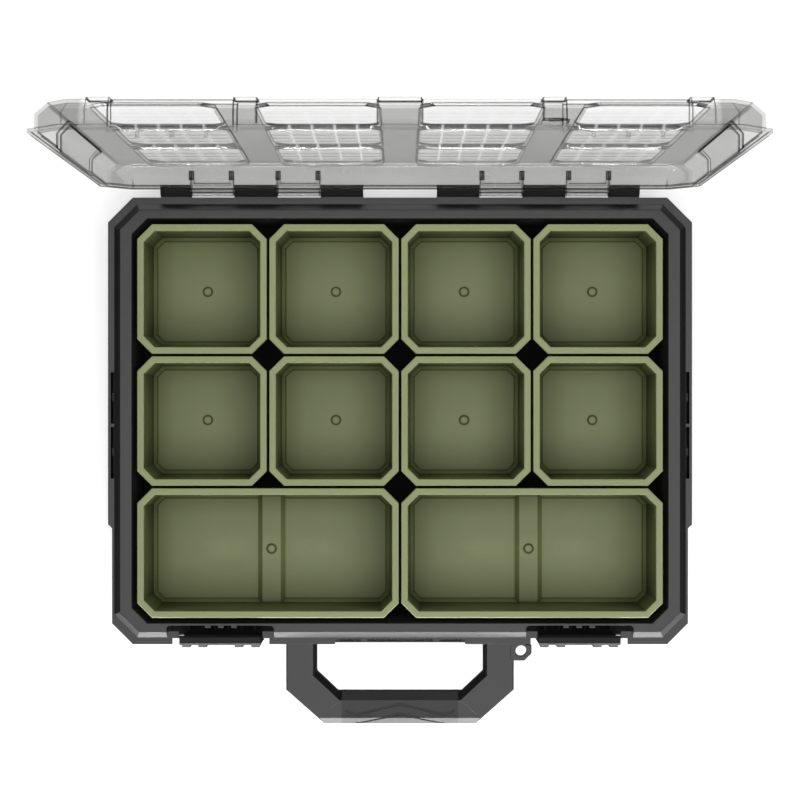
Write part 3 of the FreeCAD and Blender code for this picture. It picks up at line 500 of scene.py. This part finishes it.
for face in pattern.data.polygons:
    off_middle = abs(face.center.x) + abs(face.center.y)
    face.select = face.normal.z > square_on and off_middle < slot_width / 4
bpy.ops.object.mode_set(mode="EDIT")
bpy.ops.mesh.extrude_region_move(TRANSFORM_OT_translate={"value": (0, 0, -slot_depth)})
bpy.ops.mesh.select_all(action="SELECT")
bpy.ops.mesh.normals_make_consistent(inside=False)
bpy.ops.object.mode_set(mode="OBJECT")
rib_polycarbonate = clear_polycarbonate.copy()
rib_polycarbonate.name = "clear_polycarbonate_seen_on_edge"
shader = rib_polycarbonate.node_tree.nodes["Principled BSDF"]
shader.inputs["Specular IOR Level"].default_value = rib_specular
pattern.data.materials.append(rib_polycarbonate)
pattern.select_set(False)
for number, x in enumerate([side * place for side in (-1, 1) for place in rib_places], 1):
    rib = bpy.data.objects.new(f"lid_rib_{number}", pattern.data.copy())
    bpy.context.collection.objects.link(rib)
    rib.data.transform(Matrix.Translation((x, rib_middle, rib_foot + rib_height / 2)))
    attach(rib, "lid")
bpy.data.objects.remove(pattern)

# Label window: a clear strip over the place for a paper label, between the handle's roots.
# Cut from the same clear polycarbonate as the lid and pressed into its notch in the tub.
dress("label_window", clear_polycarbonate)

# Floor: a plain pale table that keeps the case's soft shadow.
# It is lifted to white where the camera sees it, also through the lid, and is darker in reflections.
floor_size, floor_drop = 12, 0.0002
camera_lift, lid_lift, mirror_lift = 0.45, 0.6, 0.02
bpy.ops.mesh.primitive_plane_add(size=floor_size, location=(0, 0, -floor_drop))
floor = bpy.context.object
floor.name = "floor"
pale_table = bpy.data.materials.new("pale_table")
pale_table.use_nodes = True
tree = pale_table.node_tree
tree.nodes.remove(tree.nodes["Principled BSDF"])
ray = add(tree, "ShaderNodeLightPath").outputs
shade = add(
    tree, "ShaderNodeMixRGB",
    {"Fac": ray["Is Glossy Ray"], "Color1": linear("#e6e6e6"), "Color2": linear("#404040")},
)
matt = add(tree, "ShaderNodeBsdfDiffuse", {"Color": shade.outputs["Color"]})
strength = 0.0
for kind, lift in (
    ("Is Camera Ray", camera_lift), ("Is Transmission Ray", lid_lift), ("Is Glossy Ray", mirror_lift),
):
    strength = add(
        tree, "ShaderNodeMath", {0: ray[kind], 1: lift, 2: strength}, operation="MULTIPLY_ADD",
    ).outputs[0]
glow = add(tree, "ShaderNodeEmission", {"Strength": strength})
both = add(tree, "ShaderNodeAddShader", {0: matt.outputs["BSDF"], 1: glow.outputs["Emission"]})
tree.links.new(both.outputs["Shader"], tree.nodes["Material Output"].inputs["Surface"])
floor.data.materials.append(pale_table)

# Lamps: a large softbox overhead, and low strips in front and behind that catch the sloping edges.
# Sizes and places are in metres, tilts and spreads in degrees.
for name, size, place, tilt, power, spread in (
    ("overhead_softbox", (2.8, 2.6), (0.3, -0.5, 2.3), 0, 59, 180),
    ("front_strip", (1.5, 0.12), (0, -0.62, 0.062), 90, 12, 180),
    ("front_slot", (1.5, 0.06), (0, -0.62, 0.032), 90, 0.75, 24),
    ("rear_strip", (1.5, 0.12), (0, 0.75, 0.062), -90, 3, 180),
):
    lamp = bpy.data.lights.new(name, "AREA")
    lamp.shape = "RECTANGLE"
    lamp.size, lamp.size_y = size
    lamp.energy = power
    lamp.spread = math.radians(spread)
    holder = bpy.data.objects.new(name, lamp)
    holder.location = place
    holder.rotation_euler = (math.radians(tilt), 0, 0)
    holder.visible_camera = False
    bpy.context.collection.objects.link(holder)

# Studio: the plain room round the table.
# It is white where it is seen, directly or through the lid, and dim as a light.
studio_dim, studio_white = 0.06, 1.0
world = bpy.data.worlds.new("studio")
world.use_nodes = True
bpy.context.scene.world = world
tree = world.node_tree
ray = add(tree, "ShaderNodeLightPath").outputs
seen = add(
    tree, "ShaderNodeMath", {0: ray["Is Camera Ray"], 1: ray["Is Transmission Ray"]}, operation="MAXIMUM",
)
level = add(
    tree, "ShaderNodeMapRange", {"Value": seen.outputs[0], "To Min": studio_dim, "To Max": studio_white},
)
tree.links.new(level.outputs["Result"], tree.nodes["Background"].inputs["Strength"])
tree.nodes["Background"].inputs["Color"].default_value = (1, 1, 1, 1)

# Camera: straight above the case, a little behind its middle.
# A long lens and a small shift give the case its place in the frame.
lens = bpy.data.cameras.new("camera")
lens.sensor_width = 36
lens.lens = 92.24
lens.shift_y = -0.02
camera = bpy.data.objects.new("camera", lens)
camera.location = (0, 0.0317, 1.815)
bpy.context.collection.objects.link(camera)
bpy.context.scene.camera = camera
bpy.context.scene.view_settings.view_transform = "Standard"
